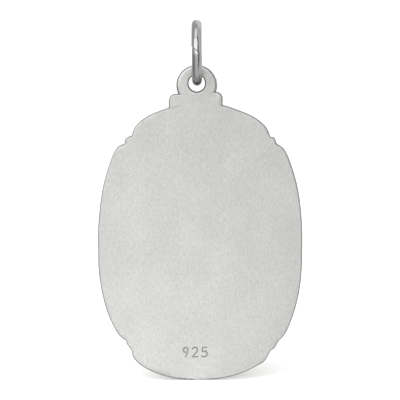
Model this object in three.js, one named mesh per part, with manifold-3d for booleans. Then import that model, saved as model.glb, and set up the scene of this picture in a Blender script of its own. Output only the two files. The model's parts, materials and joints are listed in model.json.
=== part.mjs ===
// A religious medal pendant in sterling silver, 32 mm tall without its jump ring.
// The medal is one struck piece: a plate with a scalloped outline, a round lug on top,
// a flat satin back with a small fineness number, and a raised front.
// A thick open jump ring passes through the lug and stands edge-on to the medal.
//
// Millimetres, +Z up, the back faces -Y. The origin is at the top of the ring's inside,
// where a chain carries it.

import * as THREE from 'three';
import { mergeVertices } from 'three/addons/utils/BufferGeometryUtils.js';
import Module from 'manifold-3d';

const wasm = await Module();
wasm.setup();

// Jump ring.
const WIRE_DIAMETER = 1.0;
const RING_OUTER_DIAMETER = 6.7;
const JOINT_SLIT = 0.06;
const JOINT_SIDESTEP = 0.07;
const JOINT_SLANT = THREE.MathUtils.degToRad(39);
const JOINT_RAISE = THREE.MathUtils.degToRad(4);

// Lug and neck of the medal.
const LUG_DIAMETER = 4.12;
const LUG_THICKNESS = 1.2;
const HOLE_DIAMETER = 1.75;
const HOLE_RISE = 0.2;
const SEAT_GAP = 0.06;
const NECK_WIDTH = 5.46;
const NECK_SIDESTEP = -0.1;
const SHOULDER_RADIUS = 0.64;
const LEFT_SHOULDER_DROP = 1.73;
const RIGHT_SHOULDER_DROP = 1.52;

// Plate.
const BODY_WIDTH = 20.8;
const BODY_HEIGHT = 28.2;
const HOLE_TO_CROWN = 2.05;
const BODY_SIDESTEP = 0.36;
const PLATE_THICKNESS = 1.0;
const EDGE_ROUND = 0.12;

// Raised front.
const RAIL_DIAMETER = 1.0;
const RAIL_MARGIN = 0.15;
const KNUCKLE_DIAMETER = 1.6;
const BEAD_DIAMETER = 0.84;
const BEAD_PITCH = 1.15;
const BEAD_MARGIN = 1.95;
const FIELD_MARGIN = 2.7;
const FIELD_DEPTH = 0.22;
const CROSS_HEIGHT = 14.0;
const CROSS_SPAN = 9.0;
const CROSS_ARM = 1.6;
const CROSS_RELIEF = 0.6;
const CROSS_CHAMFER = 0.3;
const LONG_RAY = 6.4;
const SHORT_RAY = 5.0;
const RAY_WIDTH = 1.0;
const RAY_RELIEF = 0.26;
const RAYS_PER_QUARTER = 5;

// Fineness number on the back.
const STAMP_HEIGHT = 1.05;
const STAMP_PITCH = 0.96;
const STAMP_STROKE = 0.13;
const STAMP_DEPTH = 0.12;
const STAMP_RISE = 2.86;
const STAMP_OFFSET = 0.36;

// How finely the round forms are faceted.
const WIRE_SIDES = 16;
const RING_STEPS = 56;
const LUG_SIDES = 44;
const HOLE_SIDES = 28;
const SHOULDER_SIDES = 6;
const RAIL_SIDES = 8;
const BEAD_SIDES = 8;
const KNUCKLE_SIDES = 12;
const FIELD_SIDES = 64;
const BEVEL_STEPS = 2;
const STEPS_PER_KNOT = 2;

// Colours, as the photograph shows them.
const SATIN_SILVER = { color: 0xc9c9c7, roughness: 0.5, metalness: 1 };
const POLISHED_SILVER = { color: 0xb4b4b3, roughness: 0.2, metalness: 1 };

// The outline of the plate, from the top of the crown down each side to the foot.
// across is a share of half the body's width, down a share of its height.
// Each stretch starts where the one before it ends, and meets it at a corner.
const RIGHT_OUTLINE = {
  crown: [
    { across: 0.0, down: 0.0 },
    { across: 0.21, down: 0.004 },
    { across: 0.357, down: 0.022 },
    { across: 0.471, down: 0.038 },
    { across: 0.564, down: 0.058 },
    { across: 0.632, down: 0.08 },
    { across: 0.664, down: 0.099 },
    { across: 0.677, down: 0.115 },
  ],
  upperKnuckle: [
    { across: 0.692, down: 0.121 },
    { across: 0.714, down: 0.121 },
    { across: 0.732, down: 0.128 },
    { across: 0.74, down: 0.138 },
    { across: 0.75, down: 0.146 },
  ],
  flank: [
    { across: 0.799, down: 0.156 },
    { across: 0.833, down: 0.172 },
    { across: 0.875, down: 0.206 },
    { across: 0.938, down: 0.279 },
    { across: 0.975, down: 0.351 },
    { across: 0.997, down: 0.441 },
    { across: 0.999, down: 0.531 },
    { across: 0.994, down: 0.604 },
    { across: 0.972, down: 0.676 },
    { across: 0.927, down: 0.748 },
    { across: 0.853, down: 0.82 },
    { across: 0.81, down: 0.845 },
    { across: 0.767, down: 0.86 },
  ],
  lowerKnuckle: [
    { across: 0.745, down: 0.877 },
    { across: 0.722, down: 0.888 },
    { across: 0.696, down: 0.891 },
  ],
  foot: [
    { across: 0.676, down: 0.905 },
    { across: 0.65, down: 0.922 },
    { across: 0.618, down: 0.937 },
    { across: 0.574, down: 0.946 },
    { across: 0.443, down: 0.971 },
    { across: 0.301, down: 0.988 },
    { across: 0.15, down: 0.998 },
    { across: 0.0, down: 1.0 },
  ],
};
const LEFT_OUTLINE = {
  crown: [
    { across: 0.0, down: 0.0 },
    { across: 0.28, down: 0.013 },
    { across: 0.392, down: 0.026 },
    { across: 0.485, down: 0.04 },
    { across: 0.58, down: 0.062 },
    { across: 0.637, down: 0.084 },
    { across: 0.66, down: 0.102 },
    { across: 0.665, down: 0.115 },
  ],
  upperKnuckle: [
    { across: 0.71, down: 0.121 },
    { across: 0.733, down: 0.129 },
    { across: 0.738, down: 0.138 },
    { across: 0.738, down: 0.145 },
  ],
  flank: [
    { across: 0.775, down: 0.149 },
    { across: 0.807, down: 0.156 },
    { across: 0.839, down: 0.172 },
    { across: 0.877, down: 0.206 },
    { across: 0.939, down: 0.279 },
    { across: 0.975, down: 0.351 },
    { across: 0.999, down: 0.441 },
    { across: 1.0, down: 0.531 },
    { across: 0.996, down: 0.604 },
    { across: 0.967, down: 0.676 },
    { across: 0.919, down: 0.748 },
    { across: 0.831, down: 0.821 },
    { across: 0.777, down: 0.846 },
    { across: 0.742, down: 0.854 },
    { across: 0.727, down: 0.861 },
    { across: 0.725, down: 0.869 },
  ],
  lowerKnuckle: [
    { across: 0.696, down: 0.883 },
    { across: 0.678, down: 0.891 },
    { across: 0.673, down: 0.9 },
  ],
  foot: [
    { across: 0.663, down: 0.916 },
    { across: 0.637, down: 0.93 },
    { across: 0.583, down: 0.948 },
    { across: 0.45, down: 0.974 },
    { across: 0.306, down: 0.991 },
    { across: 0.153, down: 0.999 },
    { across: 0.0, down: 1.0 },
  ],
};
const STRETCHES = ['crown', 'upperKnuckle', 'flank', 'lowerKnuckle', 'foot'];

// Each digit is one line from corner to corner, as shares of the stamp's height: [across, up].
const DIGITS = {
  2: [[0.04, 0.8], [0.15, 0.96], [0.42, 0.96], [0.54, 0.78],
    [0.48, 0.56], [0.04, 0.04], [0.56, 0.04]],
  5: [[0.52, 0.96], [0.1, 0.96], [0.07, 0.56], [0.4, 0.6],
    [0.55, 0.4], [0.52, 0.16], [0.34, 0.03], [0.05, 0.1]],
  9: [[0.54, 0.7], [0.4, 0.49], [0.16, 0.49], [0.05, 0.72],
    [0.18, 0.95], [0.4, 0.95], [0.54, 0.7], [0.3, 0.03]],
};
const STAMP_TEXT = '925';

// Places worked out from the driving dimensions.
const wireRadius = WIRE_DIAMETER / 2;
const ringInnerRadius = RING_OUTER_DIAMETER / 2 - WIRE_DIAMETER;
const ringWireRadius = ringInnerRadius + wireRadius;
const ringCentreZ = -ringInnerRadius;
const backY = -LUG_THICKNESS / 2;
const fieldY = backY + PLATE_THICKNESS;
const holeRadius = HOLE_DIAMETER / 2;
// The lug's two faces touch the ring's round inside first, so the hole's top lies there.
const seatDepth = Math.sqrt(ringInnerRadius ** 2 - (LUG_THICKNESS / 2) ** 2) - SEAT_GAP;
const holeZ = ringCentreZ - seatDepth - holeRadius;
const lugZ = holeZ - HOLE_RISE;
const crownZ = holeZ - HOLE_TO_CROWN;
const bodyX = BODY_SIDESTEP;
const bodyCentreZ = crownZ - BODY_HEIGHT / 2;
const crossingZ = bodyCentreZ + CROSS_HEIGHT / 2 - CROSS_SPAN / 2;
const railInset = RAIL_DIAMETER / 2 + RAIL_MARGIN;
const floorY = fieldY - FIELD_DEPTH;
const RIGHT = 1;
const LEFT = -1;

function solidOf(geometry) {
  const bare = geometry.clone();
  bare.deleteAttribute('normal');
  bare.deleteAttribute('uv');
  const merged = mergeVertices(bare, 1e-5);
  const vertProperties = new Float32Array(merged.attributes.position.array);
  const triVerts = new Uint32Array(merged.index.array);
  return new wasm.Manifold(new wasm.Mesh({ numProp: 3, vertProperties, triVerts }));
}

function geometryOf(solid) {
  const mesh = solid.getMesh();
  const geometry = new THREE.BufferGeometry();
  geometry.setAttribute('position', new THREE.BufferAttribute(mesh.vertProperties, 3));
  geometry.setIndex(new THREE.BufferAttribute(mesh.triVerts, 1));
  geometry.computeVertexNormals();
  return geometry;
}

function joined(solids) {
  return solids.reduce((whole, piece) => whole.add(piece));
}

// A flat piece standing in the XZ plane, from one Y to another, with rounded edges.
function standingPlate(shape, fromY, toY, edge, curveSegments = 12) {
  const geometry = new THREE.ExtrudeGeometry(shape, {
    depth: toY - fromY - 2 * edge,
    bevelEnabled: edge > 0,
    bevelThickness: edge,
    bevelSize: edge,
    bevelOffset: -edge,
    bevelSegments: BEVEL_STEPS,
    curveSegments,
  });
  geometry.rotateX(Math.PI / 2);
  geometry.translate(0, toY - edge, 0);
  return geometry;
}

function discShape(x, z, radius) {
  return new THREE.Shape().absarc(x, z, radius, 0, 2 * Math.PI, false);
}

function outlinePoint(side, row) {
  const x = bodyX + (side * row.across * BODY_WIDTH) / 2;
  return new THREE.Vector3(x, 0, crownZ - row.down * BODY_HEIGHT);
}

// The points of one stretch of the outline, from its upper corner to its lower one.
function stretchPoints(side, name) {
  const rows = side === RIGHT ? RIGHT_OUTLINE : LEFT_OUTLINE;
  const before = rows[STRETCHES[STRETCHES.indexOf(name) - 1]];
  const knots = before ? [before.at(-1), ...rows[name]] : rows[name];
  const curve = new THREE.CatmullRomCurve3(knots.map((row) => outlinePoint(side, row)));
  return curve.getPoints(STEPS_PER_KNOT * (knots.length - 1));
}

function sidePoints(side) {
  return STRETCHES.flatMap((name) => stretchPoints(side, name).slice(0, -1));
}

function plateShape() {
  const foot = outlinePoint(RIGHT, RIGHT_OUTLINE.foot.at(-1));
  const right = sidePoints(RIGHT);
  const left = sidePoints(LEFT).slice(1).reverse();
  const loop = [...right, foot, ...left];
  return new THREE.Shape(loop.map((p) => new THREE.Vector2(p.x, p.z)));
}

function plate() {
  return solidOf(standingPlate(plateShape(), backY, fieldY, EDGE_ROUND));
}

function lug() {
  const shape = discShape(0, lugZ, LUG_DIAMETER / 2);
  const disc = solidOf(standingPlate(shape, backY, -backY, EDGE_ROUND, LUG_SIDES / 2));
  return disc.subtract(solidOf(holeCutter()).translate(0, 0, holeZ));
}

// The hole opens a little towards both faces, by the same rounding as the outer edge.
function holeCutter() {
  const outside = LUG_THICKNESS / 2 + EDGE_ROUND;
  const flare = 2 * EDGE_ROUND;
  const profile = [
    new THREE.Vector2(0, -outside),
    new THREE.Vector2(holeRadius + flare, -outside),
    new THREE.Vector2(holeRadius, -outside + flare),
    new THREE.Vector2(holeRadius, outside - flare),
    new THREE.Vector2(holeRadius + flare, outside),
    new THREE.Vector2(0, outside),
  ];
  return new THREE.LatheGeometry(profile, HOLE_SIDES);
}

// The neck that the lug stands on: a low block with a round shoulder at each side.
// Its lower edge lies under the rail that follows the crown.
function neck() {
  const root = crownZ - railInset;
  const leftX = NECK_SIDESTEP - NECK_WIDTH / 2;
  const rightX = NECK_SIDESTEP + NECK_WIDTH / 2;
  const leftZ = holeZ - LEFT_SHOULDER_DROP;
  const rightZ = holeZ - RIGHT_SHOULDER_DROP;
  const shape = new THREE.Shape().moveTo(leftX, root).lineTo(rightX, root);
  shape.absarc(rightX - SHOULDER_RADIUS, rightZ, SHOULDER_RADIUS, 0, Math.PI / 2, false);
  shape.absarc(leftX + SHOULDER_RADIUS, leftZ, SHOULDER_RADIUS, Math.PI / 2, Math.PI, false);
  return solidOf(standingPlate(shape, backY, -backY, EDGE_ROUND, SHOULDER_SIDES / 2));
}

// Points moved off a stretch towards the middle of the plate.
function insetPoints(points, inset) {
  const centre = new THREE.Vector3(bodyX, 0, bodyCentreZ);
  return points.map((point, i) => {
    const ahead = points[Math.min(i + 1, points.length - 1)];
    const behind = points[Math.max(i - 1, 0)];
    const along = ahead.clone().sub(behind).normalize();
    const inward = new THREE.Vector3(-along.z, 0, along.x);
    if (inward.dot(centre.clone().sub(point)) < 0) inward.negate();
    return point.clone().addScaledVector(inward, inset);
  });
}

// A half-round rail on the front, following one stretch of the outline.
// It stops short of the stretch's corners, under the round knuckles there.
function rail(stretch) {
  const ends = [stretch[0], stretch.at(-1)];
  const points = stretch.filter((p) => ends.every((end) => p.distanceTo(end) > RAIL_DIAMETER / 2));
  const path = new THREE.CatmullRomCurve3(insetPoints(points, railInset));
  const section = new THREE.Shape().absarc(0, 0, RAIL_DIAMETER / 2, 0, 2 * Math.PI, false);
  const geometry = new THREE.ExtrudeGeometry(section, {
    extrudePath: path,
    steps: points.length,
    bevelEnabled: false,
    curveSegments: RAIL_SIDES / 2,
  });
  return solidOf(geometry).translate(0, fieldY, 0);
}

// Both sides of a stretch that crosses the middle, as one row from left to right.
function crossingStretch(name) {
  const right = stretchPoints(RIGHT, name);
  const left = stretchPoints(LEFT, name);
  return name === 'crown' ? [...left.reverse(), ...right.slice(1)] : [...left, ...right.reverse().slice(1)];
}

// Rails along the crown, the flanks and the foot, ending in round knuckles.
function frameRails() {
  const stretches = [
    crossingStretch('crown'),
    stretchPoints(RIGHT, 'flank'),
    stretchPoints(LEFT, 'flank'),
    crossingStretch('foot'),
  ];
  return stretches.map(rail);
}

// A round-topped stud whose foot is sunk in the plate.
function dome(x, z, diameter, sides) {
  const radius = diameter / 2;
  const sunk = -PLATE_THICKNESS / 2;
  const profile = [new THREE.Vector2(0, sunk), new THREE.Vector2(radius, sunk)];
  const rings = sides / 4;
  for (let i = 0; i <= rings; i += 1) {
    const rise = ((i / rings) * Math.PI) / 2;
    profile.push(new THREE.Vector2(i === rings ? 0 : radius * Math.cos(rise), radius * Math.sin(rise)));
  }
  return solidOf(new THREE.LatheGeometry(profile, sides)).translate(x, fieldY, z);
}

function knuckles() {
  const domes = [];
  const inset = KNUCKLE_DIAMETER / 2 + RAIL_MARGIN;
  for (const side of [RIGHT, LEFT]) {
    for (const name of ['upperKnuckle', 'lowerKnuckle']) {
      const points = insetPoints(stretchPoints(side, name), inset);
      const middle = points[Math.floor(points.length / 2)];
      domes.push(dome(middle.x, middle.z, KNUCKLE_DIAMETER, KNUCKLE_SIDES));
    }
  }
  return domes;
}

// A row of beads round the oval field.
function beadBorder() {
  const oval = new THREE.EllipseCurve(bodyX, bodyCentreZ, BODY_WIDTH / 2 - BEAD_MARGIN,
    BODY_HEIGHT / 2 - BEAD_MARGIN, 0, 2 * Math.PI);
  const count = Math.round(oval.getLength() / BEAD_PITCH);
  const places = oval.getSpacedPoints(count).slice(0, -1);
  return places.map((p) => dome(p.x, p.y, BEAD_DIAMETER, BEAD_SIDES));
}

// The sunk oval inside the beads.
function fieldCut() {
  const oval = new THREE.Shape().absellipse(bodyX, bodyCentreZ, BODY_WIDTH / 2 - FIELD_MARGIN,
    BODY_HEIGHT / 2 - FIELD_MARGIN, 0, 2 * Math.PI, false, 0);
  return solidOf(standingPlate(oval, floorY, fieldY + PLATE_THICKNESS, FIELD_DEPTH / 2, FIELD_SIDES / 2));
}

// A plain Latin cross with chamfered edges, standing on the floor of the field.
function cross() {
  const half = CROSS_ARM / 2;
  const reach = CROSS_SPAN / 2;
  const top = bodyCentreZ + CROSS_HEIGHT / 2;
  const bottom = bodyCentreZ - CROSS_HEIGHT / 2;
  const corners = [
    [half, top], [half, crossingZ + half], [reach, crossingZ + half], [reach, crossingZ - half],
    [half, crossingZ - half], [half, bottom], [-half, bottom], [-half, crossingZ - half],
    [-reach, crossingZ - half], [-reach, crossingZ + half], [-half, crossingZ + half], [-half, top],
  ];
  const shape = new THREE.Shape(corners.map(([x, z]) => new THREE.Vector2(bodyX + x, z)));
  const sunkY = (backY + floorY) / 2;
  return solidOf(standingPlate(shape, sunkY, floorY + CROSS_RELIEF, CROSS_CHAMFER));
}

// Low ridged rays between the arms of the cross, long and short by turns.
function rays() {
  const flatness = RAY_RELIEF / (RAY_WIDTH / 2);
  const spikes = [];
  for (let quarter = 0; quarter < 4; quarter += 1) {
    for (let i = 1; i <= RAYS_PER_QUARTER; i += 1) {
      const turn = (quarter + i / (RAYS_PER_QUARTER + 1)) * (Math.PI / 2);
      const length = i % 2 === 1 ? LONG_RAY : SHORT_RAY;
      const spike = new THREE.ConeGeometry(RAY_WIDTH / 2, length, 4);
      spike.translate(0, length / 2, 0);
      spike.scale(1, 1, flatness);
      spike.rotateX(Math.PI / 2);
      spike.rotateY(turn);
      spikes.push(solidOf(spike.translate(bodyX, floorY, crossingZ)));
    }
  }
  return spikes;
}

// One straight stroke of a digit, from a to b, as a block that reaches into the back.
function stroke(a, b) {
  const along = b.clone().sub(a);
  const block = new THREE.BoxGeometry(along.length() + STAMP_STROKE, 2 * STAMP_DEPTH, STAMP_STROKE);
  block.rotateY(-Math.atan2(along.y, along.x));
  const middle = a.clone().add(b).multiplyScalar(0.5);
  return solidOf(block.translate(middle.x, backY, middle.y));
}

// The number is read from behind the medal, with +X to the right.
function stamp() {
  const strokes = [];
  const leftX = bodyX - STAMP_OFFSET - (STAMP_TEXT.length * STAMP_PITCH) / 2;
  const baseZ = bodyCentreZ - BODY_HEIGHT / 2 + STAMP_RISE - STAMP_HEIGHT / 2;
  [...STAMP_TEXT].forEach((digit, i) => {
    const cell = new THREE.Vector2(leftX + i * STAMP_PITCH, baseZ);
    const corners = DIGITS[digit].map(([across, up]) =>
      new THREE.Vector2(across, up).multiplyScalar(STAMP_HEIGHT).add(cell));
    corners.slice(1).forEach((corner, k) => strokes.push(stroke(corners[k], corner)));
  });
  return joined(strokes);
}

function medal() {
  const blank = joined([plate(), lug(), neck(), ...frameRails(), ...knuckles(), ...beadBorder()]);
  const struck = joined([blank.subtract(fieldCut()), cross(), ...rays()]);
  const material = new THREE.MeshStandardMaterial(SATIN_SILVER);
  const mesh = new THREE.Mesh(geometryOf(struck.subtract(stamp())), material);
  mesh.name = 'medal';
  return mesh;
}

// The line of the wire, from the upper end of the joint over the top to its lower end.
class RingLine extends THREE.Curve {
  getPoint(t, target = new THREE.Vector3()) {
    const slit = JOINT_SLIT / ringWireRadius;
    const angle = JOINT_RAISE + slit / 2 + t * (2 * Math.PI - slit);
    const x = (t - 0.5) * JOINT_SIDESTEP;
    return target.set(x, -ringWireRadius * Math.cos(angle), ringWireRadius * Math.sin(angle));
  }
}

// The cut slants across the wire: each slice of the ring turns with its distance from
// the ring's middle plane, which leaves the round wire as it is and tilts both ends.
function slantJoint(geometry) {
  const position = geometry.attributes.position;
  const axis = new THREE.Vector3(1, 0, 0);
  const point = new THREE.Vector3();
  for (let i = 0; i < position.count; i += 1) {
    point.fromBufferAttribute(position, i);
    point.applyAxisAngle(axis, (point.x * Math.tan(JOINT_SLANT)) / ringWireRadius);
    position.setXYZ(i, point.x, point.y, point.z);
  }
}

function jumpRing() {
  const section = new THREE.Shape().absarc(0, 0, wireRadius, 0, 2 * Math.PI, false);
  const geometry = new THREE.ExtrudeGeometry(section, {
    extrudePath: new RingLine(),
    steps: RING_STEPS,
    bevelEnabled: false,
    curveSegments: WIRE_SIDES / 2,
  });
  slantJoint(geometry);
  const material = new THREE.MeshStandardMaterial(POLISHED_SILVER);
  const mesh = new THREE.Mesh(geometryOf(solidOf(geometry)), material);
  mesh.position.z = ringCentreZ;
  mesh.name = 'jump_ring';
  return mesh;
}

const pendant = new THREE.Group();
pendant.add(medal(), jumpRing());

export default pendant;
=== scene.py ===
# A religious medal pendant in sterling silver, hung by its jump ring and seen from behind.
# The medal is struck in one piece: a satin back with a small fineness number, and a raised
# front with rails, knuckles, a beaded border and a rayed cross. The ring is polished wire.
# Metres, +Z up, the back faces -Y. The origin is at the top of the ring's inside.

import json
import math

import bmesh
import bpy
from mathutils import Matrix, Vector

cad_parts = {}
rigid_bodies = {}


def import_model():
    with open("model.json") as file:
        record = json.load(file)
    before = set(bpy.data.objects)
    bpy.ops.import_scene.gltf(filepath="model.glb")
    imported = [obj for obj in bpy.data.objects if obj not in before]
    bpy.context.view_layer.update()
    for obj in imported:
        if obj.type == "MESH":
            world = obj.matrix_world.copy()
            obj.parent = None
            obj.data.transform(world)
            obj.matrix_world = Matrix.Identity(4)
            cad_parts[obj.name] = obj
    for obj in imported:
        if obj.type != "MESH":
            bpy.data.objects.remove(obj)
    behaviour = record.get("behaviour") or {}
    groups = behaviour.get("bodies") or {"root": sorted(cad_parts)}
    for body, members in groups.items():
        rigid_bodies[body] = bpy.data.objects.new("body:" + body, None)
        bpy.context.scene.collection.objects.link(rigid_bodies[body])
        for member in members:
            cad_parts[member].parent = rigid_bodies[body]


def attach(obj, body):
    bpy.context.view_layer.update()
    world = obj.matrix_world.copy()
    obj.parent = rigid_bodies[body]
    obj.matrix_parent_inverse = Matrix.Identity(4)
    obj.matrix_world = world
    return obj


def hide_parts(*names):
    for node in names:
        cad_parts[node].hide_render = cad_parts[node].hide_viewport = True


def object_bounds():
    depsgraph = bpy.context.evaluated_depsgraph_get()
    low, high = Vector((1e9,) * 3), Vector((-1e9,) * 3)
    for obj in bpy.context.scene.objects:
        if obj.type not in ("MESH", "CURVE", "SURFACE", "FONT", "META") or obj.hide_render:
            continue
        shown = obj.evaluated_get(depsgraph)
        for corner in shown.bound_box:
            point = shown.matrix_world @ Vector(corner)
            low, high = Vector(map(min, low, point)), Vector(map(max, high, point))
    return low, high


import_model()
cad_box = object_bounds()

MM = 0.001

# Edges within TOUCH of a plane lie on it, and points within MERGE of each other are one.
TOUCH = 0.001 * MM
MERGE = 0.0001 * MM

# Jump ring.
WIRE_DIAMETER = 1.0 * MM
RING_OUTER_DIAMETER = 6.7 * MM
JOINT_SLIT = 0.05 * MM
JOINT_SIDESTEP = 0.07 * MM
JOINT_SLANT = math.radians(39)
JOINT_RAISE = math.radians(4)
CUT_ROUND = 0.025 * MM
CUT_SEGMENTS = 2
WIRE_SIDES = 48
RING_STEPS = 240
RING_SHARP_DEGREES = 50

# Lug and neck of the medal. The bore is the hole once its lips are rolled.
LUG_DIAMETER = 4.12 * MM
LUG_THICKNESS = 1.2 * MM
HOLE_DIAMETER = 1.75 * MM
BORE_DIAMETER = 1.69 * MM
HOLE_RISE = 0.2 * MM
SEAT_GAP = 0.06 * MM
NECK_WIDTH = 5.46 * MM
NECK_SIDESTEP = -0.1 * MM
SHOULDER_RADIUS = 0.64 * MM
LEFT_SHOULDER_DROP = 1.73 * MM
RIGHT_SHOULDER_DROP = 1.52 * MM
LUG_ROUND = 0.27 * MM
HOLE_ROUND = 0.1 * MM
LUG_SEGMENTS = 6
LUG_SIDES = 128
HOLE_SIDES = 72
SHOULDER_SIDES = 14

# Plate.
BODY_WIDTH = 20.8 * MM
BODY_HEIGHT = 28.2 * MM
HOLE_TO_CROWN = 2.05 * MM
BODY_SIDESTEP = 0.36 * MM
PLATE_THICKNESS = 1.0 * MM
EDGE_ROUND = 0.16 * MM
EDGE_SEGMENTS = 4
STEPS_PER_KNOT = 6
CORNER_EASING = 4
CELL = 1.5 * MM
MEDAL_SHARP_DEGREES = 35

# Rounded edges are quarter circles, and shading follows the widest faces.
ROUND_PROFILE = 0.5
WIDE_FACE_WEIGHT = 100

# Raised front.
RAIL_DIAMETER = 1.0 * MM
RAIL_MARGIN = 0.15 * MM
RAIL_SIDES = 24
RAIL_EASING = 12
RAIL_THINNING = 2
RAIL_END_DIAMETER = 1.01 * MM
KNUCKLE_DIAMETER = 1.6 * MM
KNUCKLE_SIDES = 40
BEAD_DIAMETER = 0.84 * MM
BEAD_SIDES = 24
BEAD_PATH_STEPS = 2000
DOME_SINK = 0.015 * MM
DOME_ROOT = 0.1 * MM
BEAD_PITCH = 1.15 * MM
BEAD_MARGIN = 1.95 * MM
FIELD_MARGIN = 2.7 * MM
FIELD_DEPTH = 0.22 * MM
FIELD_SIDES = 160
FIELD_SLOPE_SEGMENTS = 3
CROSS_HEIGHT = 14.0 * MM
CROSS_SPAN = 9.0 * MM
CROSS_ARM = 1.6 * MM
CROSS_RELIEF = 0.6 * MM
CROSS_ROUND = 0.3 * MM
CROSS_SEGMENTS = 5
LONG_RAY = 6.4 * MM
SHORT_RAY = 5.0 * MM
RAY_WIDTH = 1.0 * MM
RAY_RELIEF = 0.26 * MM
RAYS_PER_QUARTER = 5
RAY_SIDES = 4

# Fineness number on the back.
STAMP_HEIGHT = 1.05 * MM
STAMP_PITCH = 0.96 * MM
STAMP_STROKE = 0.12 * MM
STAMP_DEPTH = 0.11 * MM
STAMP_RISE = 2.86 * MM
STAMP_OFFSET = 0.36 * MM
STAMP_TEXT = "925"
STROKE_END_STEPS = 6
STROKE_SEGMENTS = 2

# Places worked out from the sizes.
WIRE_RADIUS = WIRE_DIAMETER / 2
RING_INNER_RADIUS = RING_OUTER_DIAMETER / 2 - WIRE_DIAMETER
RING_WIRE_RADIUS = RING_INNER_RADIUS + WIRE_RADIUS
RING_CENTRE = Vector((0, 0, -RING_INNER_RADIUS))
RING_BOTTOM = WIRE_DIAMETER - RING_OUTER_DIAMETER
BACK_Y = -LUG_THICKNESS / 2
FIELD_Y = BACK_Y + PLATE_THICKNESS
FLOOR_Y = FIELD_Y - FIELD_DEPTH
SEAT_DEPTH = math.sqrt(RING_INNER_RADIUS**2 - (LUG_THICKNESS / 2) ** 2) - SEAT_GAP
HOLE_Z = RING_CENTRE.z - SEAT_DEPTH - HOLE_DIAMETER / 2
LUG_Z = HOLE_Z - HOLE_RISE
CROWN_Z = HOLE_Z - HOLE_TO_CROWN
BODY_X = BODY_SIDESTEP
BODY_CENTRE_Z = CROWN_Z - BODY_HEIGHT / 2
CROSSING_Z = BODY_CENTRE_Z + CROSS_HEIGHT / 2 - CROSS_SPAN / 2
RAIL_INSET = RAIL_DIAMETER / 2 + RAIL_MARGIN
STAMP_Z = CROWN_Z - BODY_HEIGHT + STAMP_RISE
RIGHT = 1
LEFT = -1

# The plate's outline down each side: (share of half the width, share of the height).
# Each stretch starts where the one before it ends, and meets it at a corner.
STRETCHES = ("crown", "upper_knuckle", "flank", "lower_knuckle", "foot")
RIGHT_OUTLINE = {
    "crown": [
        (0.0, 0.0), (0.21, 0.004), (0.357, 0.022), (0.471, 0.038),
        (0.564, 0.058), (0.632, 0.08), (0.664, 0.099), (0.677, 0.115),
    ],
    "upper_knuckle": [
        (0.692, 0.121), (0.714, 0.121), (0.732, 0.128), (0.74, 0.138), (0.75, 0.146),
    ],
    "flank": [
        (0.799, 0.156), (0.833, 0.172), (0.875, 0.206), (0.938, 0.279), (0.975, 0.351),
        (0.997, 0.441), (0.999, 0.531), (0.994, 0.604), (0.972, 0.676), (0.927, 0.748),
        (0.853, 0.82), (0.81, 0.845), (0.767, 0.86),
    ],
    "lower_knuckle": [(0.745, 0.877), (0.722, 0.888), (0.696, 0.891)],
    "foot": [
        (0.676, 0.905), (0.65, 0.922), (0.618, 0.937), (0.574, 0.946),
        (0.443, 0.971), (0.301, 0.988), (0.15, 0.998), (0.0, 1.0),
    ],
}
LEFT_OUTLINE = {
    "crown": [
        (0.0, 0.0), (0.28, 0.013), (0.392, 0.026), (0.485, 0.04),
        (0.58, 0.062), (0.637, 0.084), (0.66, 0.102), (0.665, 0.115),
    ],
    "upper_knuckle": [(0.71, 0.121), (0.733, 0.129), (0.738, 0.138), (0.738, 0.145)],
    "flank": [
        (0.775, 0.149), (0.807, 0.156), (0.839, 0.172), (0.877, 0.206), (0.939, 0.279),
        (0.975, 0.351), (0.999, 0.441), (1.0, 0.531), (0.996, 0.604), (0.967, 0.676),
        (0.919, 0.748), (0.831, 0.821), (0.777, 0.846), (0.742, 0.854), (0.727, 0.861),
        (0.725, 0.869),
    ],
    "lower_knuckle": [(0.696, 0.883), (0.678, 0.891), (0.673, 0.9)],
    "foot": [
        (0.663, 0.916), (0.637, 0.93), (0.583, 0.948), (0.45, 0.974),
        (0.306, 0.991), (0.153, 0.999), (0.0, 1.0),
    ],
}

# Each digit is one line from corner to corner, as shares of the stamp's height.
DIGITS = {
    "2": [
        (0.04, 0.8), (0.15, 0.96), (0.42, 0.96), (0.54, 0.78),
        (0.48, 0.56), (0.04, 0.04), (0.56, 0.04),
    ],
    "5": [
        (0.52, 0.96), (0.1, 0.96), (0.07, 0.56), (0.4, 0.6),
        (0.55, 0.4), (0.52, 0.16), (0.34, 0.03), (0.05, 0.1),
    ],
    "9": [
        (0.54, 0.7), (0.4, 0.49), (0.16, 0.49), (0.05, 0.72),
        (0.18, 0.95), (0.4, 0.95), (0.54, 0.7), (0.3, 0.03),
    ],
}

# The rounded edges of the back. The slopes are how far a face's normal turns to the back,
# -1 being flat. The marks run from 0 for plain satin, past 0.5 for smooth, to 1 for dark painted
# shade.
FLAT_SLOPE = -0.995
PLATE_STEEP_SLOPE = -0.93
LUG_STEEP_SLOPE = -0.68
EDGE_SLOPE = -0.1
BORE_SLOPE = 0.1
GENTLE_MARK = 0.1
SMOOTH_MARK = 0.5
PAINTED_SHADE_MARK = 1.0
LUG_MARK = SMOOTH_MARK
STEEP_SHADE_MARK = 0.82
STEEP_SHADE_ASIDE = -0.22
STEEP_SHADE_RIGHT = 0.04
STEEP_SHADE_DOWN = 0.13
HOLE_SHADE_MARK = PAINTED_SHADE_MARK
HOLE_SHADE_REACH = HOLE_DIAMETER / 2 + 2 * EDGE_ROUND
# Painted shade: the rounded edges and the hole's lip darken towards this grey, as where the
# light falls away.
RIM_PAINTED_SHADE_GREY = 0.06
RIM_ROUGHNESS = 0.28

# Both silvers. A range holds the two readings between which one look turns into the other.
# Every grey is a little warm: its blue is this share of its red and green.
EVEN_STRETCH = (1, 1, 1)
NOISE_DETAIL = 3.0
NOISE_RANGE = (0.35, 0.65)
HOLLOW_SAMPLES = 8
BLUE_SHARE = 0.995

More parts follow.
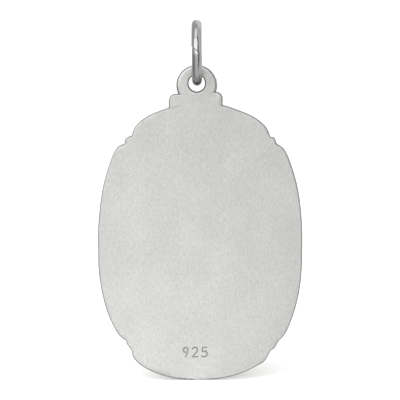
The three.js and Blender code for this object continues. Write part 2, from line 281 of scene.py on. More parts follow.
# Satin silver: sizes of its spots, and greys and roughness from one end to the other.
GRAIN_SIZE = 0.105 * MM
STREAK_SIZE = 0.15 * MM
STREAK_STRETCH = (1, 1, 0.3)
STREAK_SHARE = 0.35
CLOUD_SIZE = 4.0 * MM
CLOUD_STRETCH = (1, 1, 0.8)
GRAIN_GREYS = (0.775, 0.99)
CLOUD_GREYS = (0.94, 1.0)
# Painted shade: the face darkens towards the lug and a little to the right, as the studio's
# light falls on it.
PAINTED_SHADE_DIRECTION = (-0.2, 0, -1)
PAINTED_SHADE_GREYS = (0.6, 0.985)
SATIN_ROUGHNESS = (0.48, 0.4)
SATIN_BUMP = {"Strength": 0.35, "Distance": 0.012 * MM}
# Hollows darken within this reach, partly as oxide patina and partly as painted shade.
HOLLOW_REACH = 0.9 * MM
HOLLOW_RANGE = (0.35, 0.85)
HOLLOW_PATINA_AND_SHADE_GREY = 0.22

# Polished silver. The ring gets a painted shade where it nearly touches the lug, and a painted
# shade on its underside up to these heights above its lowest point.
RIPPLE_SIZE = 0.9 * MM
SCRATCH_SIZE = 0.08 * MM
SCRATCH_STRETCH = (1, 0.2, 0.2)
SCRATCH_SHARE = 0.25
SCRATCH_RANGE = (0.3, 0.7)
WIRE_GREYS = (0.46, 0.6)
WIRE_ROUGHNESS = (0.14, 0.24)
WIRE_BUMP = {"Strength": 0.2, "Distance": 0.02 * MM}
CONTACT_REACH = 0.5 * MM
CONTACT_RANGE = (0.45, 0.85)
UNDERSIDE_SHADE_LOW = 0.15 * MM
UNDERSIDE_SHADE_HIGH = 0.6 * MM
UNDERSIDE_SHADE_GREY = 0.16

# Camera: the photograph's frame, 400 pixels across at this scale, a little above level.
PIXEL = 0.1016 * MM
FRAME_PIXELS = 400
FRAME_CENTRE_PIXEL = FRAME_PIXELS / 2
ORIGIN_PIXEL = (196.8, 30.45)
CAMERA_ELEVATION = math.radians(4)
LENS_MM = 200
SENSOR_MM = 36
CLIP_RATIO = 100

# The floor lies a little under the foot.
FLOOR_CLEARANCE = 0.06 * MM
FLOOR_HALF_WIDTH = 2.0

# Light levels of the studio, where white paper is 1. The sky's is what the eye and the
# floor see. The metal mirrors an even floor up to the near distance, and from the far one
# on the levels round about.
SKY_LEVEL = 1.12
FLOOR_GREY = 0.92
FLOOR_NEAR_LEVEL = 0.8
FLOOR_NEAR = 24 * MM
FLOOR_FAR = 56 * MM
# Each row is an azimuth in degrees and the level there. The camera's side is 0 and its
# right 90, and the rows start at its left. One dark gap gives the ring its dark line.
FIRST_AZIMUTH = -90
WALLS = (
    (-90, 0.5), (-60, 0.54), (22, 0.54), (28, 0.02), (52, 0.02), (58, 0.85),
    (90, 0.75), (130, 0.6), (200, 0.5), (270, 0.5),
)
FLOOR = (
    (-90, 0.28), (-60, 0.34), (-40, 0.74), (22, 0.74), (28, 0.08), (52, 0.08), (58, 0.8),
    (90, 0.7), (140, 0.7), (165, 1.1), (190, 1.1), (210, 0.5), (240, 0.28), (270, 0.28),
)

# Each soft box: its name, azimuth, elevation, width, height and level.
SOFT_BOX_DISTANCE = 0.36
SOFT_BOXES = (
    ("front_light", -18, 26, 0.6, 0.36, 1.13),
    ("top_light", -30, 72, 0.3, 0.22, 0.8),
    ("behind_light", 160, 40, 0.3, 0.3, 0.35),
)


# Building blocks

def curve_through(knots, steps):
    """Points on the centripetal Catmull-Rom curve through a row of points."""
    ends = [2 * knots[0] - knots[1], *knots, 2 * knots[-1] - knots[-2]]
    points = []
    for before, start, end, after in zip(ends, ends[1:], ends[2:], ends[3:]):
        gap_before, gap, gap_after = (
            math.sqrt((b - a).length)
            for a, b in ((before, start), (start, end), (end, after))
        )
        out = (start - before) / gap_before - (end - before) / (gap_before + gap)
        out = (out + (end - start) / gap) * gap
        into = (end - start) / gap - (after - start) / (gap + gap_after)
        into = (into + (after - end) / gap_after) * gap
        for step in range(steps):
            t = step / steps
            cubic = 2 * start - 2 * end + out + into
            square = 3 * end - 3 * start - 2 * out - into
            points.append(start + out * t + square * t**2 + cubic * t**3)
    points.append(knots[-1].copy())
    return points


def eased(before, here, after):
    """Each point drawn halfway to the middle of its two neighbours."""
    return [(a + 2 * b + c) / 4 for a, b, c in zip(before, here, after)]


def circle_points(x, z, radius, sides):
    turns = [2 * math.pi * i / sides for i in range(sides)]
    return [Vector((x + radius * math.cos(a), 0, z + radius * math.sin(a))) for a in turns]


def ellipse_points(width, height, sides):
    turns = [2 * math.pi * i / sides for i in range(sides)]
    return [
        Vector((BODY_X + width / 2 * math.cos(a), 0, BODY_CENTRE_Z + height / 2 * math.sin(a)))
        for a in turns
    ]


def prism(points, low_y, high_y):
    """A solid with this outline in the XZ plane, standing from one Y to another."""
    bm = bmesh.new()
    rim = bm.faces.new([bm.verts.new((p.x, low_y, p.z)) for p in points])
    made = bmesh.ops.extrude_face_region(bm, geom=[rim])
    lifted = [part for part in made["geom"] if isinstance(part, bmesh.types.BMVert)]
    bmesh.ops.translate(bm, verts=lifted, vec=(0, high_y - low_y, 0))
    bmesh.ops.recalc_face_normals(bm, faces=bm.faces)
    return bm


def mesh_object(name, bm):
    mesh = bpy.data.meshes.new(name)
    bm.to_mesh(mesh)
    bm.free()
    piece = bpy.data.objects.new(name, mesh)
    bpy.context.scene.collection.objects.link(piece)
    return piece


def combined(name, base, operation, others):
    """A new piece: the base bmesh with the other solids joined to it or cut from it."""
    piece = mesh_object(name, base)
    tools = bpy.data.collections.new(name + "_tools")
    for i, bm in enumerate(others):
        tool = mesh_object(f"{name}_tool_{i}", bm)
        tools.objects.link(tool)
    boolean = piece.modifiers.new("combine", "BOOLEAN")
    boolean.operation = operation
    boolean.operand_type = "COLLECTION"
    boolean.collection = tools
    boolean.solver = "EXACT"
    bpy.context.view_layer.update()
    evaluated = piece.evaluated_get(bpy.context.evaluated_depsgraph_get())
    bm = bmesh.new()
    bm.from_mesh(evaluated.to_mesh())
    for tool in list(tools.objects):
        bpy.data.objects.remove(tool)
    bpy.data.collections.remove(tools)
    bpy.data.objects.remove(piece)
    return bm


# Outline of the plate

def outline_point(side, row):
    across, down = row
    return Vector((BODY_X + side * across * BODY_WIDTH / 2, 0, CROWN_Z - down * BODY_HEIGHT))


def stretch_points(side, name):
    rows = RIGHT_OUTLINE if side == RIGHT else LEFT_OUTLINE
    knots = list(rows[name])
    place = STRETCHES.index(name)
    if place > 0:
        knots.insert(0, rows[STRETCHES[place - 1]][-1])
    return curve_through([outline_point(side, row) for row in knots], STEPS_PER_KNOT)


def side_points(side):
    return [point for name in STRETCHES for point in stretch_points(side, name)[:-1]]


def plate_points():
    """The whole outline as one loop, its corners eased as a struck edge's are."""
    foot = outline_point(RIGHT, RIGHT_OUTLINE["foot"][-1])
    loop = [*side_points(RIGHT), foot, *reversed(side_points(LEFT)[1:])]
    for _ in range(CORNER_EASING):
        loop = eased([loop[-1], *loop], loop, [*loop[1:], loop[0]])
    return loop


# Medal

def neck_points():
    """The neck's outline: a low block with a round shoulder at each side."""
    root = CROWN_Z - RAIL_INSET
    left = NECK_SIDESTEP - NECK_WIDTH / 2
    right = NECK_SIDESTEP + NECK_WIDTH / 2
    points = [Vector((left, 0, root)), Vector((right, 0, root))]
    shoulders = (
        (right - SHOULDER_RADIUS, HOLE_Z - RIGHT_SHOULDER_DROP, 0),
        (left + SHOULDER_RADIUS, HOLE_Z - LEFT_SHOULDER_DROP, math.pi / 2),
    )
    for x, z, first in shoulders:
        for i in range(SHOULDER_SIDES + 1):
            angle = first + math.pi / 2 * i / SHOULDER_SIDES
            out = Vector((math.cos(angle), 0, math.sin(angle)))
            points.append(Vector((x, 0, z)) + SHOULDER_RADIUS * out)
    return points


def rounded_prism(points, low_y, high_y, width, segments):
    """A standing solid of this outline whose two faces end in rounded edges."""
    bm = prism(points, low_y, high_y)
    rims = [e for e in bm.edges if abs(e.verts[0].co.y - e.verts[1].co.y) < TOUCH]
    bevel(bm, rims, width, segments)
    return bm


def hole_cutter():
    """The lug's hole, which opens at both faces in a rounded lip."""
    lip = []
    for i in range(EDGE_SEGMENTS + 1):
        turn = math.pi / 2 * i / EDGE_SEGMENTS
        lip.append((
            BORE_DIAMETER / 2 + HOLE_ROUND * (1 - math.cos(turn)),
            -BACK_Y - HOLE_ROUND * (1 - math.sin(turn)),
        ))
    mouth = [*lip, (lip[-1][0], -2 * BACK_Y), (0, -2 * BACK_Y)]
    profile = [*((radius, -y) for radius, y in reversed(mouth)), *mouth]
    bm = bmesh.new()
    corners = [bm.verts.new((radius, y, 0)) for radius, y in profile]
    line = [bm.edges.new(pair) for pair in zip(corners, corners[1:])]
    bmesh.ops.spin(
        bm, geom=[*corners, *line], cent=(0, 0, 0), axis=(0, 1, 0), dvec=(0, 0, 0),
        angle=2 * math.pi, steps=HOLE_SIDES, use_merge=True, use_duplicate=False,
    )
    bmesh.ops.remove_doubles(bm, verts=bm.verts, dist=MERGE)
    bmesh.ops.translate(bm, verts=bm.verts, vec=(0, 0, HOLE_Z))
    bmesh.ops.recalc_face_normals(bm, faces=bm.faces)
    return bm


def blank():
    """Plate, neck and lug as one solid with rounded edges, and the lug's hole through it."""
    plate = rounded_prism(plate_points(), BACK_Y, FIELD_Y, EDGE_ROUND, EDGE_SEGMENTS)
    neck = rounded_prism(neck_points(), BACK_Y, -BACK_Y, EDGE_ROUND, EDGE_SEGMENTS)
    disc = circle_points(0, LUG_Z, LUG_DIAMETER / 2, LUG_SIDES)
    lug = rounded_prism(disc, BACK_Y, -BACK_Y, LUG_ROUND, LUG_SEGMENTS)
    whole = combined("whole", plate, "UNION", [neck, lug])
    drilled = combined("drilled", whole, "DIFFERENCE", [hole_cutter()])
    cut_to_cells(drilled)
    return drilled


def inset_path(points, inset):
    """The points moved off an outline stretch towards the plate's middle, and eased."""
    centre = Vector((BODY_X, 0, BODY_CENTRE_Z))
    moved = []
    for i, point in enumerate(points):
        ahead = points[min(i + 1, len(points) - 1)]
        behind = points[max(i - 1, 0)]
        along = (ahead - behind).normalized()
        inward = Vector((-along.z, 0, along.x))
        if inward.dot(centre - point) < 0:
            inward.negate()
        moved.append(point + inward * inset)
    for _ in range(RAIL_EASING):
        moved[1:-1] = eased(moved, moved[1:], moved[2:])
    return moved


def swept_bar(path, radius, sides):
    """A round bar along a path of constant Y, its first section extruded step by step."""
    bm = bmesh.new()
    places = []
    for i, point in enumerate(path):
        along = (path[min(i + 1, len(path) - 1)] - path[max(i - 1, 0)]).normalized()
        out = Vector((0, 1, 0))
        side = out.cross(along)
        turn = Matrix((side, out, along)).transposed().to_4x4()
        places.append(Matrix.Translation(point) @ turn)
    bmesh.ops.create_circle(bm, cap_ends=True, segments=sides, radius=radius, matrix=places[0])
    section = [*bm.verts, *bm.edges, *bm.faces]
    for last, place in zip(places, places[1:]):
        section = bmesh.ops.extrude_face_region(bm, geom=section)["geom"]
        lifted = [part for part in section if isinstance(part, bmesh.types.BMVert)]
        bmesh.ops.transform(bm, matrix=place @ last.inverted(), verts=lifted)
    bmesh.ops.recalc_face_normals(bm, faces=bm.faces)
    return bm


def dome(x, z, diameter, sides):
    """A round-topped stud on the field, cut off flat a little below the surface."""
    bm = bmesh.new()
    centre = Vector((x, FIELD_Y - DOME_SINK, z))
    bmesh.ops.create_uvsphere(
        bm, u_segments=sides, v_segments=sides // 2, radius=diameter / 2,
        matrix=Matrix.Translation(centre) @ Matrix.Rotation(math.pi / 2, 4, "X"),
    )
    bmesh.ops.bisect_plane(
        bm, geom=[*bm.verts, *bm.edges, *bm.faces], plane_co=centre - Vector((0, DOME_ROOT, 0)),
        plane_no=(0, 1, 0), clear_inner=True,
    )
    bmesh.ops.holes_fill(bm, edges=bm.edges)
    bmesh.ops.recalc_face_normals(bm, faces=bm.faces)
    return bm


def crossing_stretch(name):
    """Both sides of a stretch that crosses the middle, as one row from left to right."""
    right = stretch_points(RIGHT, name)
    left = stretch_points(LEFT, name)
    if name == "crown":
        return [*reversed(left), *right[1:]]
    return [*left, *list(reversed(right))[1:]]


def rail_solids():
    solids = []
    for stretch in (
        crossing_stretch("crown"),
        stretch_points(RIGHT, "flank"),
        stretch_points(LEFT, "flank"),
        crossing_stretch("foot"),
    ):
        ends = (stretch[0], stretch[-1])
        clear = [p for p in stretch if all((p - end).length > RAIL_DIAMETER / 2 for end in ends)]
        path = inset_path(clear, RAIL_INSET)[::RAIL_THINNING]
        level = [Vector((p.x, FIELD_Y, p.z)) for p in path]
        solids.append(swept_bar(level, RAIL_DIAMETER / 2, RAIL_SIDES))
        for end in (level[0], level[-1]):
            solids.append(dome(end.x, end.z, RAIL_END_DIAMETER, RAIL_SIDES))
    return solids


def knuckle_solids():
    solids = []
    inset = KNUCKLE_DIAMETER / 2 + RAIL_MARGIN
    for side in (RIGHT, LEFT):
        for name in ("upper_knuckle", "lower_knuckle"):
            path = inset_path(stretch_points(side, name), inset)
            middle = path[len(path) // 2]
            solids.append(dome(middle.x, middle.z, KNUCKLE_DIAMETER, KNUCKLE_SIDES))
    return solids


def bead_solids():
    """A row of beads, evenly spaced round the oval field."""
    width = BODY_WIDTH - 2 * BEAD_MARGIN
    height = BODY_HEIGHT - 2 * BEAD_MARGIN
    fine = ellipse_points(width, height, BEAD_PATH_STEPS)
    lengths = [0.0]
    for here, there in zip(fine, [*fine[1:], fine[0]]):
        lengths.append(lengths[-1] + (there - here).length)
    count = round(lengths[-1] / BEAD_PITCH)
    solids = []
    for i in range(count):
        reach = lengths[-1] * i / count
        place = next(k for k, length in enumerate(lengths) if length >= reach)
        point = fine[place % len(fine)]
        solids.append(dome(point.x, point.z, BEAD_DIAMETER, BEAD_SIDES))
    return solids


def field_cutter():
    """The oval sink inside the beads, with a soft slope at its foot."""
    width = BODY_WIDTH - 2 * FIELD_MARGIN
    height = BODY_HEIGHT - 2 * FIELD_MARGIN
    bm = prism(ellipse_points(width, height, FIELD_SIDES), FLOOR_Y, FIELD_Y + PLATE_THICKNESS)
    low = [e for e in bm.edges if all(abs(v.co.y - FLOOR_Y) < TOUCH for v in e.verts)]
    bevel(bm, low, FIELD_DEPTH / 2, FIELD_SLOPE_SEGMENTS)
    return bm


def cross_solid():
    """A plain Latin cross with rounded edges, standing on the floor of the field."""
    half = CROSS_ARM / 2
    reach = CROSS_SPAN / 2
    top = BODY_CENTRE_Z + CROSS_HEIGHT / 2
    bottom = BODY_CENTRE_Z - CROSS_HEIGHT / 2
    quarter = [
        (half, top), (half, CROSSING_Z + half), (reach, CROSSING_Z + half),
        (reach, CROSSING_Z - half), (half, CROSSING_Z - half), (half, bottom),
    ]
    corners = [*quarter, *((-x, z) for x, z in reversed(quarter))]
    points = [Vector((BODY_X + x, 0, z)) for x, z in corners]
    front = FLOOR_Y + CROSS_RELIEF
    bm = prism(points, (BACK_Y + FLOOR_Y) / 2, front)
    raised = [e for e in bm.edges if all(abs(v.co.y - front) < TOUCH for v in e.verts)]
    bevel(bm, raised, CROSS_ROUND, CROSS_SEGMENTS)
    return bm


def ray_solids():
    """Low ridged rays between the arms of the cross, long and short by turns."""
    solids = []
    flatness = RAY_RELIEF / (RAY_WIDTH / 2)
    for quarter in range(4):
        for i in range(1, RAYS_PER_QUARTER + 1):
            turn = (quarter + i / (RAYS_PER_QUARTER + 1)) * math.pi / 2
            length = LONG_RAY if i % 2 == 1 else SHORT_RAY
            bm = bmesh.new()
            bmesh.ops.create_cone(
                bm, cap_ends=True, segments=RAY_SIDES, radius1=RAY_WIDTH / 2, radius2=0,
                depth=length,
            )
            bmesh.ops.translate(bm, verts=bm.verts, vec=(0, 0, length / 2))
            bmesh.ops.scale(bm, verts=bm.verts, vec=(1, flatness, 1))
            place = Matrix.Translation((BODY_X, FLOOR_Y, CROSSING_Z))
            bmesh.ops.transform(bm, matrix=place @ Matrix.Rotation(turn, 4, "Y"), verts=bm.verts)
            solids.append(bm)
    return solids


def stroke_solid(start, end):
    """One stroke of a digit: a round-ended groove, eased at its bottom."""
    along = end - start
    turn = math.atan2(along.z, along.x)
    radius = STAMP_STROKE / 2
    points = []
    for centre, first in ((end, turn - math.pi / 2), (start, turn + math.pi / 2)):
        for i in range(STROKE_END_STEPS + 1):
            angle = first + math.pi * i / STROKE_END_STEPS
            points.append(centre + radius * Vector((math.cos(angle), 0, math.sin(angle))))
    bottom = BACK_Y + STAMP_DEPTH
    bm = prism(points, BACK_Y - STAMP_DEPTH, bottom)
    deep = [e for e in bm.edges if all(abs(v.co.y - bottom) < TOUCH for v in e.verts)]
    bevel(bm, deep, STAMP_STROKE / 4, STROKE_SEGMENTS)
    return bm


def stamp_solids():
    """The number, read from behind the medal with +X to the right."""
    left_x = BODY_X - STAMP_OFFSET - len(STAMP_TEXT) * STAMP_PITCH / 2
    base_z = STAMP_Z - STAMP_HEIGHT / 2
    solids = []
    for i, digit in enumerate(STAMP_TEXT):
        corner = Vector((left_x + i * STAMP_PITCH, 0, base_z))
        corners = [
            corner + STAMP_HEIGHT * Vector((across, 0, up)) for across, up in DIGITS[digit]
        ]
        solids += [stroke_solid(a, b) for a, b in zip(corners, corners[1:])]
    return solids


def bevel(bm, edges, width, segments):
    bmesh.ops.bevel(
        bm, geom=edges, offset=width, offset_type="OFFSET", segments=segments,
        profile=ROUND_PROFILE, affect="EDGES", material=-1, clamp_overlap=False,
    )


def cut_to_cells(bm):
    """Cuts the wide flat faces into small cells, so that no face is a long many-sided one."""
    for axis, width in ((0, BODY_WIDTH), (2, LUG_DIAMETER + BODY_HEIGHT)):
        centre = (min(v.co[axis] for v in bm.verts) + max(v.co[axis] for v in bm.verts)) / 2
        count = math.ceil(width / CELL)
        for i in range(count + 1):
            place = Vector((0, 0, 0))
            place[axis] = centre + (i - count / 2) * CELL
            across = Vector((0, 0, 0))
            across[axis] = 1
            bmesh.ops.bisect_plane(
                bm, geom=[*bm.verts, *bm.edges, *bm.faces], plane_co=place, plane_no=across,
                dist=MERGE,
            )


def finish_shading(piece, sharp_degrees):
    for polygon in piece.data.polygons:
        polygon.use_smooth = True
    piece.data.set_sharp_from_angle(angle=math.radians(sharp_degrees))
    weighted = piece.modifiers.new("even_shading", "WEIGHTED_NORMAL")
    weighted.keep_sharp = True
    weighted.weight = WIDE_FACE_WEIGHT


def reach(place, x, z):
    """How far a place is from a line along Y at this X and Z."""
    return math.hypot(place.x - x, place.z - z)


def mark_rim_smoothness_and_shade(bm):
    """Marks the rounded edges of the back: tumbled smooth, and darkened by a painted shade, most
    on the right, on the underside and at the hole's lip.
    """
    mark = bm.faces.layers.float.new("rim")
    for face in bm.faces:
        place = face.calc_center_median()
        aside, slope, up = face.normal
        in_hole = reach(place, 0, HOLE_Z) < HOLE_SHADE_REACH
        on_lug = reach(place, 0, LUG_Z) < LUG_DIAMETER / 2
        stamped = reach(place, BODY_X, STAMP_Z) < len(STAMP_TEXT) * STAMP_PITCH
        rounded = FLAT_SLOPE < slope < (BORE_SLOPE if in_hole else EDGE_SLOPE)
        if stamped or not rounded or place.y >= BACK_Y + LUG_ROUND:
            continue
        if in_hole:
            # Painted shade: the hole's lip is dark as if in shadow.
            face[mark] = HOLE_SHADE_MARK
        elif slope > (LUG_STEEP_SLOPE if on_lug else PLATE_STEEP_SLOPE):
            turned = STEEP_SHADE_ASIDE * abs(aside) + STEEP_SHADE_RIGHT * aside
            face[mark] = STEEP_SHADE_MARK + turned + STEEP_SHADE_DOWN * max(-up, 0)
        else:
            face[mark] = LUG_MARK if on_lug else GENTLE_MARK


def medal():
    sunk = combined("sunk", blank(), "DIFFERENCE", [field_cutter(), *stamp_solids()])
    relief = [
        *rail_solids(), *knuckle_solids(), *bead_solids(), cross_solid(), *ray_solids(),
    ]
    struck = combined("struck", sunk, "UNION", relief)
    cut_to_cells(struck)
    mark_rim_smoothness_and_shade(struck)
    piece = mesh_object("struck_medal", struck)
    finish_shading(piece, MEDAL_SHARP_DEGREES)
    return piece


# Jump ring

def jump_ring():
    """Round wire bent to a ring, its ends cut at a slant and butted a little out of line."""
    bm = bmesh.new()
    slit = JOINT_SLIT / RING_WIRE_RADIUS
    start = Matrix.Rotation(-JOINT_RAISE - slit / 2, 4, "X")
    place = start @ Matrix.Translation((-JOINT_SIDESTEP / 2, -RING_WIRE_RADIUS, 0))
    bmesh.ops.create_circle(
        bm, cap_ends=True, segments=WIRE_SIDES, radius=WIRE_RADIUS, matrix=place
    )
    bmesh.ops.spin(
        bm, geom=[*bm.verts, *bm.edges, *bm.faces], cent=(0, 0, 0), axis=(1, 0, 0),
        dvec=(JOINT_SIDESTEP / RING_STEPS, 0, 0), angle=slit - 2 * math.pi,
        steps=RING_STEPS, use_merge=False, use_duplicate=False,
    )
    caps = [face for face in bm.faces if len(face.verts) == WIRE_SIDES]
    bevel(bm, [edge for cap in caps for edge in cap.edges], CUT_ROUND, CUT_SEGMENTS)
    for vertex in bm.verts:
        lean = vertex.co.x * math.tan(JOINT_SLANT) / RING_WIRE_RADIUS
        vertex.co = Matrix.Rotation(lean, 3, "X") @ vertex.co
    bmesh.ops.translate(bm, verts=bm.verts, vec=RING_CENTRE)
    bmesh.ops.recalc_face_normals(bm, faces=bm.faces)
    piece = mesh_object("wire_ring", bm)
    finish_shading(piece, RING_SHARP_DEGREES)
    return piece


# Finishes

def add_node(tree, kind, inputs=None, **settings):
    """A shader node with its inputs set: a number or colour is a value, a socket a link."""
    made = tree.nodes.new(kind)
    for name, value in settings.items():
        setattr(made, name, value)
    for name, value in (inputs or {}).items():
        socket = made.inputs[name]
        if isinstance(value, bpy.types.NodeSocket):
            tree.links.new(value, socket)
        else:
            socket.default_value = value
    return made


def new_material(name):
    material = bpy.data.materials.new(name)
    material.use_nodes = True
    material.node_tree.nodes.clear()
    return material


def grain(tree, places, size, stretch):
    """Noise from 0 to 1 whose spots have this size, drawn out by the stretch on each axis."""
    mapping = add_node(tree, "ShaderNodeMapping", {"Vector": places, "Scale": stretch})
    noise = add_node(
        tree, "ShaderNodeTexNoise",
        {"Vector": mapping.outputs["Vector"], "Scale": 1 / size, "Detail": NOISE_DETAIL},
    )
    return noise.outputs["Fac"]


def ranged(tree, value, low, high, to_low=0.0, to_high=1.0):
    made = add_node(
        tree, "ShaderNodeMapRange",
        {"Value": value, "From Min": low, "From Max": high, "To Min": to_low, "To Max": to_high},
    )
    return made.outputs["Result"]


def mixed(tree, share, a, b, blend="MIX"):
    """A mix of two colours. Numbers mix through sockets of the same names, so the node's
    sockets for colours are picked by their kind."""
    made = add_node(tree, "ShaderNodeMix", data_type="RGBA", blend_type=blend)
    sockets = [socket for socket in made.inputs if socket.enabled]
    for socket, value in zip(sockets, (share, a, b)):
        if isinstance(value, bpy.types.NodeSocket):
            tree.links.new(value, socket)
        else:
            socket.default_value = value
    return next(socket for socket in made.outputs if socket.enabled)


def mixed_value(tree, share, a, b):
    return add_node(tree, "ShaderNodeMix", {"Factor": share, "A": a, "B": b}).outputs["Result"]


def grey(level):
    return (level, level, level * BLUE_SHARE, 1.0)


def satin_silver():
    """Blasted satin: fine grain, faint vertical streaks, hollows darkened by patina and painted
    shade, a painted shade towards the lug, and painted dark edge lines.
    """
    material = new_material("satin_silver")
    tree = material.node_tree
    places = add_node(tree, "ShaderNodeTexCoord").outputs["Object"]
    fine = grain(tree, places, GRAIN_SIZE, EVEN_STRETCH)
    streaks = grain(tree, places, STREAK_SIZE, STREAK_STRETCH)
    clouds = grain(tree, places, CLOUD_SIZE, CLOUD_STRETCH)
    speckled = mixed_value(tree, STREAK_SHARE, fine, streaks)
    texture = ranged(tree, speckled, *NOISE_RANGE)
    base = mixed(tree, texture, *map(grey, GRAIN_GREYS))
    cloudy = mixed(tree, ranged(tree, clouds, *NOISE_RANGE), *map(grey, CLOUD_GREYS))
    # Painted shade in the base colour: darker towards the lug and the right, brighter towards
    # the lower left.
    slant = add_node(
        tree, "ShaderNodeVectorMath", {0: places, 1: PAINTED_SHADE_DIRECTION}, operation="DOT_PRODUCT"
    )
    lower = ranged(tree, slant.outputs["Value"], 0.0, -BODY_CENTRE_Z * 2)
    clouds_and_painted_shade = mixed(tree, 1.0, mixed(tree, lower, *map(grey, PAINTED_SHADE_GREYS)), cloudy, "MULTIPLY")
    face = mixed(tree, 1.0, base, clouds_and_painted_shade, "MULTIPLY")
    rim = add_node(tree, "ShaderNodeAttribute", attribute_name="rim").outputs["Fac"]
    # Marks past smooth paint shade: the dark edge lines and the dark lip of the hole.
    colour = mixed(tree, ranged(tree, rim, SMOOTH_MARK, PAINTED_SHADE_MARK), face, grey(RIM_PAINTED_SHADE_GREY))
    # Darker hollows: partly patina, partly painted shade in the medal's own nooks.
    hollow = add_node(
        tree, "ShaderNodeAmbientOcclusion", {"Distance": HOLLOW_REACH},
        samples=HOLLOW_SAMPLES, only_local=True,
    )
    openness = ranged(tree, hollow.outputs["AO"], *HOLLOW_RANGE)
    aged_and_shaded = mixed(tree, openness, grey(HOLLOW_PATINA_AND_SHADE_GREY), colour)
    bump = add_node(tree, "ShaderNodeBump", {"Height": texture, **SATIN_BUMP})
    shader = add_node(
        tree, "ShaderNodeBsdfPrincipled",
        {
            "Base Color": aged_and_shaded,
            "Metallic": 1.0,
            "Roughness": mixed_value(
                tree, ranged(tree, rim, 0.0, SMOOTH_MARK),
                ranged(tree, texture, 0.0, 1.0, *SATIN_ROUGHNESS), RIM_ROUGHNESS,
            ),
            "Normal": bump.outputs["Normal"],
        },
    )
    add_node(tree, "ShaderNodeOutputMaterial", {"Surface": shader.outputs["BSDF"]})
    return material


def polished_silver():
    """Drawn and tumbled wire: bright, with soft ripples, hair scratches and a painted shade on
    its underside and near the lug.
    """
    material = new_material("polished_silver")
    tree = material.node_tree
    places = add_node(tree, "ShaderNodeTexCoord").outputs["Object"]
    ripples = grain(tree, places, RIPPLE_SIZE, EVEN_STRETCH)
    scratches = grain(tree, places, SCRATCH_SIZE, SCRATCH_STRETCH)
    height = mixed(tree, SCRATCH_SHARE, ripples, scratches)
    # Painted shade: the wire darkens where the lug is near, and on its underside up to a height.
    near = add_node(
        tree, "ShaderNodeAmbientOcclusion", {"Distance": CONTACT_REACH}, samples=HOLLOW_SAMPLES
    )
    clear_of_contact = ranged(tree, near.outputs["AO"], *CONTACT_RANGE)
    level = add_node(tree, "ShaderNodeSeparateXYZ", {"Vector": places}).outputs["Z"]
    bright = ranged(tree, level, RING_BOTTOM + UNDERSIDE_SHADE_LOW, RING_BOTTOM + UNDERSIDE_SHADE_HIGH)
    unshaded = add_node(tree, "ShaderNodeMath", {0: clear_of_contact, 1: bright}, operation="MULTIPLY")
    silver = mixed(tree, scratches, *map(grey, WIRE_GREYS))
    bump = add_node(tree, "ShaderNodeBump", {"Height": height, **WIRE_BUMP})
    shader = add_node(
        tree, "ShaderNodeBsdfPrincipled",
        {
            "Base Color": mixed(tree, unshaded.outputs["Value"], grey(UNDERSIDE_SHADE_GREY), silver),
            "Metallic": 1.0,
            "Roughness": ranged(tree, scratches, *SCRATCH_RANGE, *WIRE_ROUGHNESS),
            "Normal": bump.outputs["Normal"],
        },
    )
    add_node(tree, "ShaderNodeOutputMaterial", {"Surface": shader.outputs["BSDF"]})
    return material


def dress(piece, material, body, node):
    piece.data.materials.clear()
    piece.data.materials.append(material)
    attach(piece, body)
    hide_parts(node)


# Studio

def photo_camera():
    """Straight at the back, a little above level, at the photograph's scale."""
    data = bpy.data.cameras.new("photo_camera")
    data.lens = LENS_MM
    data.sensor_width = SENSOR_MM
    distance = FRAME_PIXELS * PIXEL * LENS_MM / SENSOR_MM
    across = (FRAME_CENTRE_PIXEL - ORIGIN_PIXEL[0]) * PIXEL
    down = (FRAME_CENTRE_PIXEL - ORIGIN_PIXEL[1]) * PIXEL / math.cos(CAMERA_ELEVATION)
    aim = Vector((across, BACK_Y, -down))
    data.clip_start = distance / CLIP_RATIO
    data.clip_end = distance * CLIP_RATIO
    camera = bpy.data.objects.new("photo_camera", data)
    bpy.context.scene.collection.objects.link(camera)
    away = Vector((0, -math.cos(CAMERA_ELEVATION), math.sin(CAMERA_ELEVATION)))
    camera.location = aim + away * distance
    camera.rotation_euler = (-away).to_track_quat("-Z", "Y").to_euler()
    bpy.context.scene.camera = camera


def surroundings(tree, places, levels):
    """The level that the metal mirrors at each azimuth."""
    turn = add_node(tree, "ShaderNodeTexGradient", {"Vector": places}, gradient_type="RADIAL")
    ramp = add_node(tree, "ShaderNodeValToRGB", {"Fac": turn.outputs["Fac"]})
    stops = ramp.color_ramp.elements
    for i, (azimuth, level) in enumerate(levels):
        place = (azimuth - FIRST_AZIMUTH) / 360
        stop = stops[0] if i == 0 else stops[-1] if place == 1 else stops.new(place)
        stop.position = place
        stop.color = grey(level)
    return ramp.outputs["Color"]


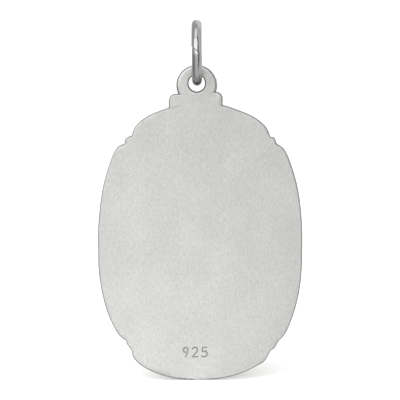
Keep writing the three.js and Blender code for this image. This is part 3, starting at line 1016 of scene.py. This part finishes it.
def studio_floor():
    """A pale floor, which the metal mirrors as an even one without shadows."""
    bm = bmesh.new()
    level = cad_box[0].z - FLOOR_CLEARANCE
    bmesh.ops.create_grid(
        bm, x_segments=1, y_segments=1, size=FLOOR_HALF_WIDTH,
        matrix=Matrix.Translation((0, 0, level)),
    )
    floor = mesh_object("studio_floor", bm)
    material = new_material("white_card")
    material.cycles.emission_sampling = "NONE"
    tree = material.node_tree
    places = add_node(tree, "ShaderNodeTexCoord").outputs["Object"]
    away = add_node(tree, "ShaderNodeVectorMath", {0: places}, operation="LENGTH")
    near = ranged(tree, away.outputs["Value"], FLOOR_NEAR, FLOOR_FAR, 1.0, 0.0)
    around = mixed(tree, near, surroundings(tree, places, FLOOR), grey(FLOOR_NEAR_LEVEL))
    card = add_node(tree, "ShaderNodeBsdfDiffuse", {"Color": grey(FLOOR_GREY), "Roughness": 1.0})
    glow = add_node(tree, "ShaderNodeEmission", {"Color": around, "Strength": 1.0})
    mirrored = add_node(tree, "ShaderNodeLightPath").outputs["Is Glossy Ray"]
    either = add_node(
        tree, "ShaderNodeMixShader",
        {0: mirrored, 1: card.outputs["BSDF"], 2: glow.outputs["Emission"]},
    )
    add_node(tree, "ShaderNodeOutputMaterial", {"Surface": either.outputs["Shader"]})
    floor.data.materials.append(material)


def studio_world():
    """White to the eye and to the floor, and the surroundings to the metal."""
    world = bpy.data.worlds.new("studio")
    world.use_nodes = True
    world.cycles.sampling_method = "NONE"
    tree = world.node_tree
    tree.nodes.clear()
    places = add_node(tree, "ShaderNodeTexCoord").outputs["Generated"]
    mirrored = add_node(tree, "ShaderNodeLightPath").outputs["Is Glossy Ray"]
    colour = mixed(tree, mirrored, grey(SKY_LEVEL), surroundings(tree, places, WALLS))
    shader = add_node(tree, "ShaderNodeBackground", {"Color": colour, "Strength": 1.0})
    add_node(tree, "ShaderNodeOutputWorld", {"Surface": shader.outputs["Background"]})
    bpy.context.scene.world = world


def soft_box(name, azimuth, elevation, width, height, level):
    """A soft light aimed at the medal, as bright as that level."""
    data = bpy.data.lights.new(name, "AREA")
    data.shape = "RECTANGLE"
    data.size = width
    data.size_y = height
    data.energy = level * math.pi * width * height
    light = bpy.data.objects.new(name, data)
    bpy.context.scene.collection.objects.link(light)
    a, e = math.radians(azimuth), math.radians(elevation)
    away = Vector((math.sin(a) * math.cos(e), -math.cos(a) * math.cos(e), math.sin(e)))
    light.location = Vector((BODY_X, 0, BODY_CENTRE_Z)) + away * SOFT_BOX_DISTANCE
    light.rotation_euler = (-away).to_track_quat("-Z", "Y").to_euler()


photo_camera()
studio_world()
studio_floor()
for box in SOFT_BOXES:
    soft_box(*box)
dress(medal(), satin_silver(), "medal", "medal")
dress(jump_ring(), polished_silver(), "ring", "jump_ring")
bpy.context.scene.view_settings.view_transform = "Standard"
